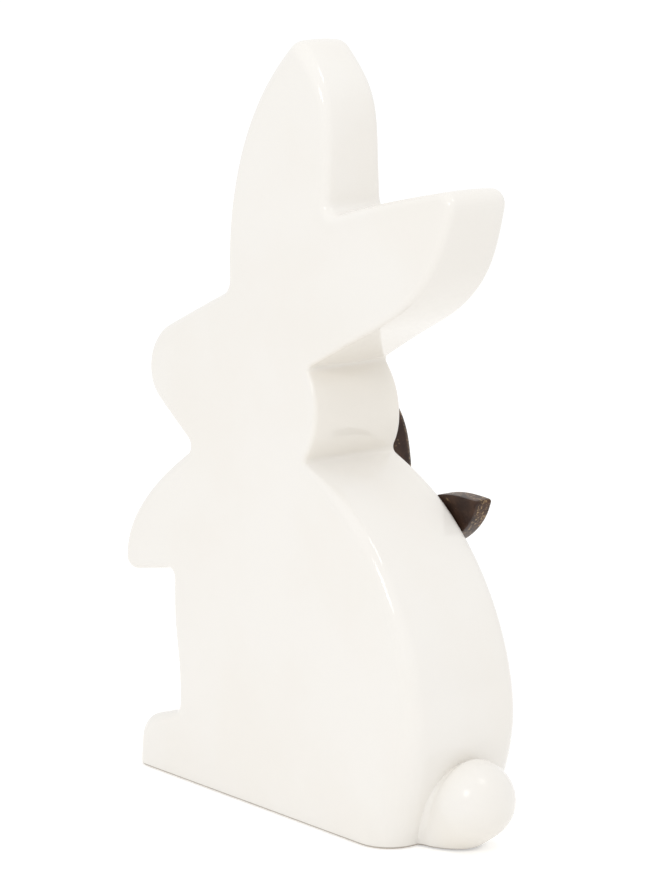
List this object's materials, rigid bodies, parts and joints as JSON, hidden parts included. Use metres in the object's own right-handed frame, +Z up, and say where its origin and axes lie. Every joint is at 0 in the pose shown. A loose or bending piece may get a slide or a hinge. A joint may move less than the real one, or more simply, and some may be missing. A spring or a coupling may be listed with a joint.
{
  "type": "ceramic rabbit figurine",
  "caption": "Standing rabbit figurine cut as a thick tapered slab in white glazed ceramic, with upright ears, a round tail and a dark metallic ribbon bow on one face.",
  "frame": {"origin": "on the surface that the figurine stands on, under the middle of its bounding box", "axes": "+Z up from the flat base to the ear tip, +X to the nose along the rabbit, -Y out of the display face that carries the bow"},
  "size_m": [0.202, 0.0694, 0.2998],
  "materials": {
    "glaze": "gloss",
    "bow_finish": "satin",
    "adhesive": "satin"
  },
  "bodies": {
    "root": {"rabbit_body": "glaze", "tail": "glaze", "bow_bond": "adhesive", "bow_knot": "bow_finish", "bow_loop_front": "bow_finish", "bow_loop_rear": "bow_finish", "bow_ribbon_front": "bow_finish", "bow_ribbon_rear": "bow_finish"}
  },
  "joints": []
}
